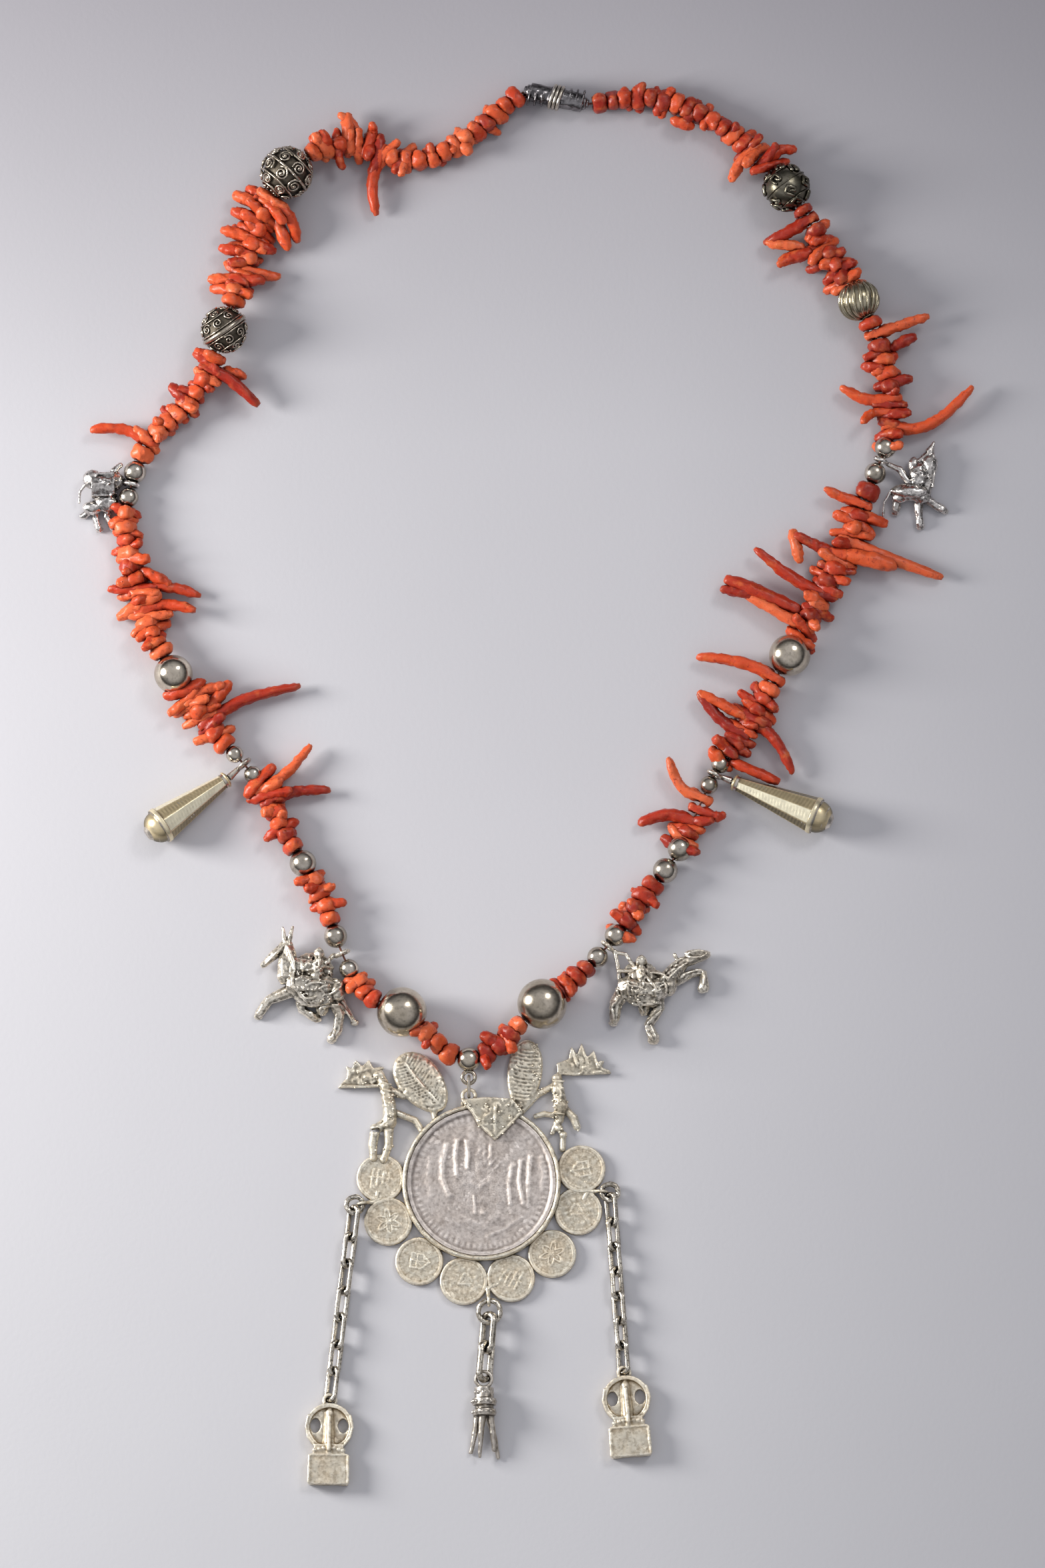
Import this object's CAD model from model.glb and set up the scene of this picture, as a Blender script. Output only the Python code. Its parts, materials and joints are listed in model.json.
"""Coral branch necklace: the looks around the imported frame. Metres, +Z up, +Y towards the clasp."""

import json
import random
from math import acos, asin, cos, exp, pi, radians, sin, sqrt

import bmesh
import bpy
import numpy as np
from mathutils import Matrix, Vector, noise
from mathutils.bvhtree import BVHTree


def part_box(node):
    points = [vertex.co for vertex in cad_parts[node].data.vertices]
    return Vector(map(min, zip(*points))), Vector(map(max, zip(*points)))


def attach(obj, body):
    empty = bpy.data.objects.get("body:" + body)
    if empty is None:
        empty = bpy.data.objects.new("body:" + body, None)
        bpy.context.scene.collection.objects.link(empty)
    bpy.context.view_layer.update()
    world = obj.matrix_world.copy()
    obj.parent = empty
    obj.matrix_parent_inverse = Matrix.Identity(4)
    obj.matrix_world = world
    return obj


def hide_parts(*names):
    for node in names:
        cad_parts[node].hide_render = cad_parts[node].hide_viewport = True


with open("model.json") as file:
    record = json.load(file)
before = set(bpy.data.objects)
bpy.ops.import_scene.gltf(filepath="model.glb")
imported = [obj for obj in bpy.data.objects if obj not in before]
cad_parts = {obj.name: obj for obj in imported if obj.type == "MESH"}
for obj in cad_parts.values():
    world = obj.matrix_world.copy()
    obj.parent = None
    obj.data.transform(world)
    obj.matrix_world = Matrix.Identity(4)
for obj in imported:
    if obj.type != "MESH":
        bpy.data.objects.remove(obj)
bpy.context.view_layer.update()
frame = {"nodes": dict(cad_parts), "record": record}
NODES = frame["nodes"]
MM = 0.001
# The part's source is moved by this much in its frame, in mm
SHIFT = (-1.32, -0.1)
TINY = 1e-12
ALMOST_PARALLEL = 0.05
# The least height of a vertex above the floor, metres
FLOOR_GAP = 0.00001


# ---- materials
def give(t, node, inputs):
    """Links or sets inputs of a node."""
    for key, value in inputs.items():
        if isinstance(value, bpy.types.NodeSocket):
            t.links.new(value, node.inputs[key])
        else:
            node.inputs[key].default_value = value


def add(t, kind, inputs=None, **props):
    n = t.nodes.new(kind)
    for k, v in props.items():
        setattr(n, k, v)
    give(t, n, inputs or {})
    return n


def nodes_of(name):
    """A new material, its tree, its shader and the object's coordinates."""
    m = bpy.data.materials.new(name)
    m.use_nodes = True
    t = m.node_tree
    t.nodes.clear()
    out = t.nodes.new("ShaderNodeOutputMaterial")
    shader = t.nodes.new("ShaderNodeBsdfPrincipled")
    give(t, out, {"Surface": shader.outputs[0]})
    return m, t, shader, add(t, "ShaderNodeTexCoord").outputs["Object"]


def ramp(t, source, stops):
    r = add(t, "ShaderNodeValToRGB", {0: source})
    e = r.color_ramp.elements
    while len(e) < len(stops):
        e.new(0.5)
    for el, (pos, col) in zip(e, stops):
        el.position = pos
        el.color = (*col, 1) if isinstance(col, tuple) else (col, col, col, 1)
    return r.outputs[0]


def mix(t, a, b, fac, blend="MIX"):
    a, b = ((*v, 1) if isinstance(v, tuple) else v for v in (a, b))
    return add(t, "ShaderNodeMix", {0: fac, 6: a, 7: b}, data_type="RGBA", blend_type=blend).outputs[2]


def tint(t, base, colour, source, *stops):
    """The base with a colour laid over it by a ramp of the source."""
    return mix(t, base, colour, ramp(t, source, stops))


def noise_tex(t, coords, scale, detail=4.0, rough=0.55, distort=0.0):
    return add(t, "ShaderNodeTexNoise", {"Scale": scale, "Detail": detail, "Roughness": rough,
                                         "Distortion": distort, "Vector": coords}).outputs["Fac"]


def tone_of(t):
    return add(t, "ShaderNodeAttribute", attribute_name="tone").outputs["Fac"]


def pointed(t):
    return add(t, "ShaderNodeNewGeometry").outputs["Pointiness"]


def openness(t, reach):
    """Low in recesses; the reach is in mm."""
    return add(t, "ShaderNodeAmbientOcclusion", {"Distance": reach * MM}, samples=6).outputs["AO"]


def span(t, source, low, high):
    """The source from low to high as 0 to 1."""
    return add(t, "ShaderNodeMapRange", {"From Min": low, "From Max": high, "Value": source}).outputs[0]


def bump(t, shader, height, mm):
    b = add(t, "ShaderNodeBump", {"Distance": mm * MM, "Strength": 1.0, "Height": height})
    give(t, shader, {"Normal": b.outputs[0]})


def silver(name, light, dark, recess, rough, grain=700, bump_mm=0.02, pits=0.0, reach=0.9, metal=1.0):
    """Worn silver: patches between light and dark, tarnish in recesses and pits, scratches."""
    m, t, s, co = nodes_of(name)
    patches = noise_tex(t, co, grain * 0.35, 5, 0.6, 0.6)
    fine = noise_tex(t, co, grain * 2.4, 4, 0.6)
    colour = ramp(t, patches, [(0.34, dark), (0.62, light)])
    colour = mix(t, colour, ramp(t, fine, [(0.28, 0.55), (0.5, 1.0)]), 0.8, "MULTIPLY")
    colour = tint(t, colour, recess, pointed(t), (0.46, 1.0), (0.52, 0.0))
    if pits:
        spot = noise_tex(t, co, grain * 1.5, 3, 0.6, 0.5)
        colour = tint(t, colour, recess, spot, (0.36, pits), (0.47, 0.0))
    colour = tint(t, colour, recess, openness(t, reach), (0.42, 0.9), (0.8, 0.0))
    give(t, s, {"Base Color": colour, "Metallic": metal,
                "Roughness": ramp(t, patches, [(0.3, rough[1]), (0.68, rough[0])])})
    bump(t, s, noise_tex(t, co, grain * 1.6, 6, 0.7), bump_mm)
    return m


def faceted_silver():
    """Polished warm silver; each facet has its own tone, lighter along the ridges."""
    m, t, s, co = nodes_of("faceted_silver")
    colour = ramp(t, tone_of(t), [(0.0, (0.15, 0.125, 0.075)), (0.5, (0.74, 0.60, 0.36)),
                                  (1.0, (1.0, 0.93, 0.70))])
    wear = ramp(t, noise_tex(t, co, 900, 4, 0.6), [(0.3, 0.84), (0.55, 1.0)])
    colour = mix(t, colour, wear, 0.8, "MULTIPLY")
    colour = tint(t, colour, (0.04, 0.03, 0.015), openness(t, 0.8), (0.4, 0.9), (0.75, 0.0))
    give(t, s, {"Base Color": colour, "Metallic": 0.7,
                "Roughness": ramp(t, noise_tex(t, co, 300, 3), [(0.3, 0.42), (0.7, 0.28)])})
    bump(t, s, noise_tex(t, co, 1100, 5, 0.7), 0.015)
    return m


def coral_material():
    m, t, s, co = nodes_of("coral")
    base = ramp(t, tone_of(t), [(0.0, (0.32, 0.018, 0.008)), (0.35, (0.54, 0.042, 0.012)),
                                (0.7, (0.70, 0.088, 0.022)), (1.0, (0.82, 0.16, 0.055))])
    blotch = noise_tex(t, co, 260, 4, 0.6, 0.4)
    base = tint(t, base, (0.86, 0.22, 0.06), blotch, (0.56, 0.0), (0.76, 0.6))
    veins = noise_tex(t, co, 900, 5, 0.65, 0.8)
    base = tint(t, base, (0.24, 0.010, 0.006), veins, (0.3, 0.8), (0.44, 0.0))
    point = pointed(t)
    base = tint(t, base, (0.16, 0.006, 0.005), point, (0.43, 0.85), (0.5, 0.0))
    base = tint(t, base, (0.95, 0.30, 0.13), point, (0.53, 0.0), (0.62, 0.4))
    base = tint(t, base, (0.11, 0.004, 0.003), openness(t, 2.0), (0.36, 0.95), (0.88, 0.0))
    give(t, s, {"Base Color": base, "Roughness": ramp(t, veins, [(0.3, 0.46), (0.7, 0.22)]),
                "Subsurface Weight": 0.12, "Subsurface Radius": (0.0012, 0.0004, 0.0002),
                "Subsurface Scale": 0.6, "Specular IOR Level": 0.38})
    bump(t, s, noise_tex(t, co, 1500, 5, 0.7), 0.05)
    return m


def thread_material():
    m, t, s, co = nodes_of("thread")
    twist = add(t, "ShaderNodeTexWave", {"Scale": 900, "Distortion": 1.5, "Vector": co}).outputs["Fac"]
    give(t, s, {"Base Color": ramp(t, twist, [(0.2, (0.10, 0.03, 0.02)), (0.8, (0.30, 0.12, 0.08))]),
                "Roughness": 0.85})
    bump(t, s, twist, 0.05)
    return m


def floor_material():
    """A pale surface, darker towards the back and a little towards the right."""
    m, t, s, co = nodes_of("floor")
    place = add(t, "ShaderNodeSeparateXYZ", {0: co}).outputs
    colour = ramp(t, span(t, place["Y"], -0.19, 0.2), FLOOR_RAMP)
    colour = mix(t, colour, (0.80, 0.80, 0.81), span(t, place["X"], 0.03, 0.17), "MULTIPLY")
    cloud = noise_tex(t, co, 9, 3, 0.5)
    colour = mix(t, colour, ramp(t, cloud, [(0.3, 0.965), (0.7, 1.0)]), 1.0, "MULTIPLY")
    give(t, s, {"Base Color": colour, "Roughness": 0.8, "Specular IOR Level": 0.25})
    bump(t, s, noise_tex(t, co, 800, 4, 0.6), 0.03)
    return m


FLOOR_RAMP = [(0.0, (0.66, 0.655, 0.68)), (0.45, (0.65, 0.64, 0.67)), (0.7, (0.60, 0.59, 0.62)),
              (1.0, (0.39, 0.375, 0.405))]
CORAL = coral_material()
THREAD = thread_material()
SILVER = silver("silver", (0.78, 0.72, 0.64), (0.54, 0.48, 0.40), (0.05, 0.04, 0.03), (0.24, 0.42))
BEAD = silver("bead_silver", (0.74, 0.655, 0.54), (0.52, 0.45, 0.35), (0.09, 0.075, 0.05),
              (0.15, 0.26), grain=420, bump_mm=0.012)
DARK = silver("dark_silver", (0.27, 0.245, 0.19), (0.09, 0.08, 0.055), (0.01, 0.008, 0.006),
              (0.18, 0.36))
WARM = silver("warm_silver", (1.0, 0.93, 0.77), (0.88, 0.77, 0.59), (0.06, 0.045, 0.028),
              (0.32, 0.5), pits=0.45, bump_mm=0.03, reach=1.1, metal=0.72)
COIN = silver("coin_silver", (0.95, 0.87, 0.81), (0.78, 0.70, 0.64), (0.16, 0.12, 0.10),
              (0.46, 0.6), grain=500, pits=0.25, metal=0.85)
GOLD = silver("coin_gold", (1.0, 0.94, 0.79), (0.95, 0.83, 0.65), (0.22, 0.155, 0.08),
              (0.38, 0.54), grain=600, pits=0.35, reach=2.0, metal=0.72)
FILIGREE = silver("filigree_silver", (0.70, 0.61, 0.50), (0.36, 0.31, 0.24), (0.04, 0.03, 0.02),
                  (0.2, 0.36), reach=0.5)
CLASP = silver("clasp_metal", (0.39, 0.37, 0.375), (0.12, 0.11, 0.115), (0.015, 0.013, 0.014),
               (0.18, 0.34))
BALL = silver("ball_silver", (0.72, 0.65, 0.56), (0.40, 0.35, 0.28), (0.05, 0.04, 0.03),
              (0.16, 0.3), grain=500, bump_mm=0.012, reach=1.2)
STEEL = silver("grey_silver", (1.0, 0.95, 0.90), (0.68, 0.63, 0.59), (0.03, 0.026, 0.024),
               (0.2, 0.36), pits=0.5, reach=1.1)
CHARM = silver("charm_silver", (1.0, 0.93, 0.80), (0.84, 0.74, 0.60), (0.035, 0.026, 0.016),
               (0.2, 0.38), pits=0.55, bump_mm=0.035, reach=1.6, metal=0.78)
LINK = silver("link_silver", (1.0, 0.93, 0.80), (0.62, 0.55, 0.45), (0.02, 0.015, 0.01),
              (0.2, 0.36), grain=1100, pits=0.7, reach=1.0)
CONE = faceted_silver()
LOOKS = {"coral": CORAL, "thread": THREAD, "silver": SILVER, "dark_silver": DARK,
         "dark_metal": CLASP, "coin_silver": COIN}
for row in frame["record"]["subparts"]:
    if row["node"] in NODES:
        mesh = NODES[row["node"]].data
        mesh.materials.clear()
        mesh.materials.append(LOOKS[row["material_slot"]])


# ---- shapes
class Shape:
    """Collects vertices and faces in mm, then becomes one mesh object."""

    def __init__(self):
        self.v, self.f, self.tone = [], [], []
        self.n = 0

    def put(self, verts, faces, tone=0.5):
        verts = np.asarray(verts, float)
        self.v.append(verts)
        self.tone.append(np.broadcast_to(tone, len(verts)))
        self.f += [tuple(i + self.n for i in face) for face in faces]
        self.n += len(verts)

    def tube(self, points, radii, sides=8, closed=False, tone=0.5, up=(0, 0, 1)):
        """Wire through points; the ends of an open one are closed and rounded off."""
        p = np.asarray(points, float)
        r = np.broadcast_to(np.asarray(radii, float), (len(p),)).copy()
        if not closed:
            d0, d1 = unit(p[0] - p[1]), unit(p[-1] - p[-2])
            p = np.vstack([p[0] + d0 * r[0] * 0.75, p, p[-1] + d1 * r[-1] * 0.75])
            r = np.concatenate([[r[0] * 0.5], r, [r[-1] * 0.5]])
        n = len(p)
        d = np.roll(p, -1, 0) - np.roll(p, 1, 0) if closed else np.gradient(p, axis=0)
        d /= np.linalg.norm(d, axis=1)[:, None] + TINY
        u = np.cross(np.asarray(up, float), d)
        bad = np.linalg.norm(u, axis=1) < ALMOST_PARALLEL
        u[bad] = np.cross((1.0, 0.13, 0.0), d[bad])
        u /= np.linalg.norm(u, axis=1)[:, None]
        w = np.cross(d, u)
        a = np.arange(sides) * 2 * pi / sides
        ring = u[:, None] * np.cos(a)[None, :, None] + w[:, None] * np.sin(a)[None, :, None]
        faces = bands(n, sides, closed=closed)
        if not closed:
            faces += [tuple(range(sides - 1, -1, -1)), tuple((n - 1) * sides + i for i in range(sides))]
        self.put((p[:, None] + ring * r[:, None, None]).reshape(-1, 3), faces, tone)

    def ball(self, c, r, size=(1, 1, 1), nu=12, nv=8):
        """A ball or ellipsoid."""
        verts = [(0, 0, 1)]
        for j in range(1, nv):
            b = pi * j / nv
            verts += [(sin(b) * cos(a), sin(b) * sin(a), cos(b)) for a in around(nu)]
        verts.append((0, 0, -1))
        last, a = len(verts) - 1, 1 + (nv - 2) * nu
        faces = [(0, 1 + i, 1 + (i + 1) % nu) for i in range(nu)] + bands(nv - 1, nu, 1, flip=True)
        faces += [(last, a + (i + 1) % nu, a + i) for i in range(nu)]
        self.put(np.array(verts) * r * np.array(size) + np.asarray(c, float), faces)

    def lathe(self, profile, basis, c, n):
        """A profile of radius, height turned about the third column of basis."""
        verts = [basis @ np.array((r * cos(a), r * sin(a), h)) + c for r, h in profile for a in around(n)]
        self.put(verts, bands(len(profile), n))

    def mesh(self, name):
        v = np.vstack(self.v) * MM
        me = bpy.data.meshes.new(name)
        me.from_pydata(v.tolist(), [], self.f)
        me.attributes.new("tone", "FLOAT", "POINT").data.foreach_set(
            "value", np.concatenate(self.tone).astype(np.float32))
        me.update()
        return me


def bands(rows, n, first=0, closed=False, flip=False):
    """Faces between rows of n vertices, each row a closed ring."""
    faces = []
    for j in range(rows if closed else rows - 1):
        a, b = first + j * n, first + (j + 1) % rows * n
        for i in range(n):
            k = (i + 1) % n
            faces.append((a + i, b + i, b + k, a + k) if flip else (a + i, a + k, b + k, b + i))
    return faces


def around(n):
    """The angles of n places round a circle."""
    return [2 * pi * i / n for i in range(n)]


def unit(v):
    v = np.asarray(v, float)
    return v / (np.linalg.norm(v) + TINY)


def at(x, y, z=0.0):
    """A place in the part's own drawing, in the frame, mm."""
    return (x + SHIFT[0], y + SHIFT[1], z)


def frame_about(axis):
    """Three columns; the third is the axis."""
    w = unit(axis)
    u = np.cross((0.0, 0.0, 1.0), w)
    if np.linalg.norm(u) < ALMOST_PARALLEL:
        u = np.cross((1.0, 0.0, 0.0), w)
    u = unit(u)
    return np.column_stack([u, np.cross(w, u), w])


def piece(name, mesh, material, stands_for=()):
    mesh.materials.clear()
    mesh.materials.append(material)
    mesh.polygons.foreach_set("use_smooth", [True] * len(mesh.polygons))
    o = bpy.data.objects.new(name, mesh)
    bpy.context.scene.collection.objects.link(o)
    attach(o, "root")
    if stands_for:
        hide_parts(*stands_for)
    return o


def per_vertex(mesh, what):
    """The vertices' "co" or "normal", one row each."""
    rows = np.zeros(len(mesh.vertices) * 3)
    mesh.vertices.foreach_get(what, rows)
    return rows.reshape(-1, 3)


def settle(mesh, co, low=FLOOR_GAP):
    """Sets the places of the vertices, none lower than this above the floor, in metres."""
    co[:, 2] = np.maximum(co[:, 2], low)
    mesh.vertices.foreach_set("co", co.ravel())


def mesh_of(b, name):
    me = bpy.data.meshes.new(name)
    b.to_mesh(me)
    b.free()
    return me


def baked(mesh, *modifiers):
    """The mesh after the given modifiers: (type, {settings})."""
    o = bpy.data.objects.new("work", mesh)
    bpy.context.scene.collection.objects.link(o)
    for kind, props in modifiers:
        m = o.modifiers.new(kind, kind)
        for k, v in props.items():
            setattr(m, k, v)
    dg = bpy.context.evaluated_depsgraph_get()
    made = bpy.data.meshes.new_from_object(o.evaluated_get(dg), depsgraph=dg)
    bpy.data.objects.remove(o)
    return made


def welded(node, quads=False):
    """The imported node's mesh with its seams joined, as a bmesh."""
    b = bmesh.new()
    b.from_mesh(NODES[node].data)
    bmesh.ops.remove_doubles(b, verts=b.verts, dist=1e-6)
    if quads:
        bmesh.ops.join_triangles(b, faces=b.faces, angle_face_threshold=0.9,
                                 angle_shape_threshold=1.2, cmp_seam=False, cmp_sharp=False,
                                 cmp_uvs=False, cmp_vcols=False, cmp_materials=False)
    return b


def islands(b):
    """Lists of vertices of each loose part of a bmesh."""
    seen, out = set(), []
    for v in b.verts:
        if v.index in seen:
            continue
        stack, part = [v], []
        seen.add(v.index)
        while stack:
            x = stack.pop()
            part.append(x)
            for e in x.link_edges:
                y = e.other_vert(x)
                if y.index not in seen:
                    seen.add(y.index)
                    stack.append(y)
        out.append(part)
    return out


# ---- coral
THREAD_V = per_vertex(NODES["thread"].data, "co") / MM
# Where the string starts at the clasp, in the frame, mm, and the length at which its right half begins
CLASP_AT = (-1.3, 169)
RIGHT_HALF = 321
# Walking along the thread, mm: what lies this near is passed, how far ahead to look, and how thick a slice
PASSED, AHEAD, SLICE = 1.9, 6.5, 0.9
# How much fuller the coral is made, mm, and the share of its faces kept at the end
CORAL_SWELL = 0.32
CORAL_KEPT = 0.42


def string_line():
    """The middle of the thread in order along the string, mm, and the length up to each place."""
    b = welded("thread")
    p = np.array([v.co for v in b.verts]) / MM
    b.free()
    line = [p[np.argmin(np.hypot(p[:, 0] - CLASP_AT[0], p[:, 1] - CLASP_AT[1]))]]
    # step along the tube: the mean of what lies within a short reach ahead
    done = np.zeros(len(p), bool)
    while not done.all():
        d = np.linalg.norm(p - line[-1], axis=1)
        done |= d < PASSED
        ahead = ~done & (d < AHEAD)
        if not ahead.any():
            break
        near = ahead & (d < d[ahead].min() + SLICE)
        line.append(p[near].mean(0))
        done |= near
    line = np.array(line)
    s = np.concatenate([[0], np.cumsum(np.linalg.norm(np.diff(line, axis=0), axis=1))])
    return line, s


LINE, LINE_S = string_line()


def on_line(s):
    return np.array([np.interp(s, LINE_S, LINE[:, k]) for k in range(3)])


# Stretches of the string with branch bits: from, to, half length of a bit, spacing, mm
BRANCHES = (
    (8, 30, 2.7, 3.6), (33, 57, 3.9, 2.4), (73, 84, 5.0, 1.8), (84, 100, 4.2, 2.0), (115, 144, 3.4, 2.6),
    (159, 176, 3.3, 2.7), (176, 194, 4.6, 2.2), (206, 221, 4.5, 2.2), (235, 242, 4.4, 2.2),
    (242, 251, 3.2, 2.6), (261, 271, 3.1, 2.6), (288, 294, 2.9, 2.8), (309, 315, 3.0, 2.8),
    (327.5, 336, 3.0, 2.8), (351, 357, 3.2, 2.7), (372, 384, 3.3, 2.5), (398, 408, 4.0, 2.2),
    (421, 442, 4.2, 2.2), (454, 464, 3.8, 2.3), (464, 493, 4.2, 2.3), (508, 521, 3.9, 2.4),
    (521, 534, 3.4, 2.6), (549, 567, 4.0, 2.3), (582, 598, 3.8, 2.4), (598, 628, 2.8, 3.2))


def branch_bits(left):
    """Short pieces of branch threaded crosswise, as one Shape in mm."""
    shape = Shape()
    rnd = random.Random(21 if left else 22)
    for a, b, half, pitch in BRANCHES:
        if (a < RIGHT_HALF) != left:
            continue
        s = a + pitch * 0.5
        while s < b:
            c, t = on_line(s), unit(on_line(s + 0.8) - on_line(s - 0.8))
            side = unit(np.cross((0, 0, 1), t))
            h = half * rnd.uniform(0.7, 1.2)
            r = rnd.uniform(1.05, 1.5)
            lift = asin(min(0.9, 2.3 / h)) * rnd.uniform(-1, 1)
            d = unit(side * cos(lift) + np.array((0, 0, 1)) * sin(lift) + t * rnd.uniform(-0.35, 0.35))
            off = rnd.uniform(-0.3, 0.3) * h
            bend = rnd.uniform(-0.8, 0.8)
            pts = []
            for k in range(6):
                q = -1 + 2 * k / 5
                pts.append(c + d * (q * h + off) + t * bend * (1 - q * q) * 0.8
                           + np.array((0, 0, 0.35 * (1 - q * q))))
            pts = np.array(pts)
            radii = np.array([r * rnd.uniform(0.78, 1.18) * (0.82 if k in (0, 5) else 1) for k in range(6)])
            pts[:, 2] = np.maximum(pts[:, 2], radii + 0.35)
            shape.tube(pts, radii, 7, tone=rnd.random())
            s += pitch * rnd.uniform(0.8, 1.25)
    return shape


# Single stout bits seen in the strands: x0, y0, x1, y1 in the part's drawing, mm, radius
STUBS = (
    (-42.4, 162.2, -41.8, 154.4, 1.7), (-50.7, 157, -45, 153.7, 1.5), (-60, 139, -57, 130.5, 1.5),
    (-69, 143, -62, 140, 1.6), (-69.5, 139, -61, 136, 1.5), (-66, 144.5, -60, 141, 1.5),
    (-72, 134.5, -64, 132, 1.4), (-72.5, 130, -65, 128.5, 1.4), (-65.5, 131, -60.5, 129.5, 1.3),
    (-75, 122.5, -68, 121.9, 1.5), (-72.5, 120.6, -68, 118, 1.4), (-72, 100, -67.5, 98.6, 1.3),
    (-84.5, 96, -79, 89.5, 1.4), (-91.4, 51, -85.6, 47.8, 1.4), (36.3, 161.5, 40.2, 160.2, 1.3),
    (62.6, 127, 69.6, 129, 1.5), (88.8, 105.6, 93.9, 108.2, 1.3), (82.4, 101, 87, 100.5, 1.4),
    (50.4, 4.2, 60.6, -0.3, 1.2), (65.9, 41.4, 49.6, 48.6, 1.85), (57, 44.6, 48.4, 46.4, 1.2),
    (64.8, 60.3, 66.4, 53.8, 1.3), (77.6, 55, 88.6, 52.4, 1.9), (42.6, 21, 53.4, 15.2, 1.2),
    (59.4, 131.4, 67.2, 130.2, 1.3), (-77, 15.4, -70.9, 23.2, 1.5))


def coral(node, name, seed, left):
    """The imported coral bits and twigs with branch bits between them, rounded, knotted and grooved."""
    rnd = random.Random(seed)
    b = welded(node, quads=True)
    shape = branch_bits(left)
    for x0, y0, x1, y1, r in STUBS:
        if (x0 < 0) == left:
            pts = [(*(np.array(at(x0, y0)) * (1 - q) + np.array(at(x1, y1)) * q)[:2], 3.4 + 0.5 * sin(3 * q))
                   for q in (0, 0.2, 0.4, 0.6, 0.8, 1)]
            shape.tube(pts, [r * k for k in (0.8, 1, 0.9, 1.08, 0.95, 0.85)], 7)
    b.from_mesh(shape.mesh("extra"))
    b.verts.index_update()
    tone = b.verts.layers.float.get("tone") or b.verts.layers.float.new("tone")
    phase = b.verts.layers.float.new("phase")
    for part in islands(b):
        t, p = rnd.random() ** (0.65 if left else 1.7), rnd.random() * 50
        for v in part:
            v[tone], v[phase] = t, p
    b.normal_update()
    for v in b.verts:
        v.co += v.normal * CORAL_SWELL * MM
    me = baked(mesh_of(b, name), ("SUBSURF", {"levels": 2}))
    co, n = per_vertex(me, "co"), per_vertex(me, "normal")
    ph = np.zeros(len(co))
    me.attributes["phase"].data.foreach_get("value", ph)
    move = np.zeros(len(co))
    for i, (c, k) in enumerate(zip(co, ph)):
        q = Vector(c) * 1000
        move[i] = (0.30 * noise.noise(q * 0.75 + Vector((k, 0, 0)))
                   + 0.20 * noise.noise(q * 1.9 + Vector((0, k, 0)))
                   - 0.12 * abs(noise.noise(q * 3.6 + Vector((0, 0, k)))))
    settle(me, co + n * (move[:, None] * MM), 2 * FLOOR_GAP)
    me = baked(me, ("DECIMATE", {"ratio": CORAL_KEPT}))
    return piece(name, me, CORAL, [node])


coral("coral_left", "coral_branches_left", 3, True)
coral("coral_right", "coral_branches_right", 8, False)

# ---- beads
def rows_of(node):
    """Centre, radius and axis of each bead of a node, in mm, in the order along the string."""
    b = welded(node)
    b.verts.index_update()
    rows = []
    for part in islands(b):
        p = np.array([v.co for v in part]) / MM
        c = (p.min(0) + p.max(0)) / 2
        r = np.linalg.norm(p - c, axis=1).max()
        near = THREAD_V[np.linalg.norm(THREAD_V - c, axis=1) < r * 1.3 + 2.5]
        rows.append((c, r, unit(np.linalg.svd(near - near.mean(0))[2][0])))
    b.free()
    return rows


def roughened(mesh, rows, seed=0.0):
    """Moves the surface along its normals by noise: rows of scale per mm, height in mm."""
    co, n = per_vertex(mesh, "co"), per_vertex(mesh, "normal")
    move = np.zeros(len(co))
    for i, c in enumerate(co):
        q = Vector(c) / MM
        for k, (scale, high) in enumerate(rows):
            move[i] += high * noise.noise(q * scale + Vector((seed + 7 * k, 0, 0)))
    mesh.vertices.foreach_set("co", (co + n * (move[:, None] * MM)).ravel())
    mesh.update()
    return mesh


def plain_bead(shape, c, r, axis, bore=0.8, collar=0.5, flat=1.0, n=48):
    """A hollow-looking round bead: two raised collars round the bore and a fine seam."""
    rim = bore + collar
    end = min(sqrt(r * r - rim * rim), r * flat)
    prof = [(bore, -end * 0.6), (bore, -end + 0.05), (bore + 0.12, -end - 0.1), (rim - 0.1, -end - 0.1),
            (rim + 0.05, -end + 0.02)]
    a0 = acos(min(1.0, end / r)) + 0.03
    for i in range(25):
        a = a0 + (pi - 2 * a0) * i / 24
        seam = 0.012 * r * exp(-((a - pi / 2) / 0.035) ** 2)
        prof.append((r * sin(a) + seam * 0.4, -r * cos(a)))
    prof += [(x, -h) for x, h in reversed(prof[:5])]
    shape.lathe(prof, frame_about(axis), c, n)


def made(name, shape, material, stands_for=(), slot="silver", rough=(), seed=0.0):
    return piece(name, roughened(shape.mesh(name), rough, seed), material, stands_for)


def plain_beads(name, nodes, material, dents, **kw):
    shape = Shape()
    for node in nodes:
        for c, r, axis in rows_of(node):
            plain_bead(shape, c, r, axis, **kw)
    made(name, shape, material, nodes, rough=((0.28, dents), (0.9, dents * 0.35)), seed=len(name))


def on_ball(c, basis, r, lat, lon):
    return c + basis @ np.array((cos(lat) * cos(lon), cos(lat) * sin(lon), sin(lat))) * r


def scroll(shape, c, r, towards, size, turns, wire, start, hand):
    """A spiral of wire laid on a ball, 12 steps to a turn."""
    d = unit(towards)
    e = frame_about(d)
    pts = []
    n = int(turns * 12)
    for i in range(n + 1):
        t = i / n
        rho = size * (1 - 0.86 * t) / r
        a = start + hand * turns * 2 * pi * t
        pts.append(c + unit(d + (e[:, 0] * cos(a) + e[:, 1] * sin(a)) * rho) * r)
    shape.tube(pts, wire, 6, up=d)


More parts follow.
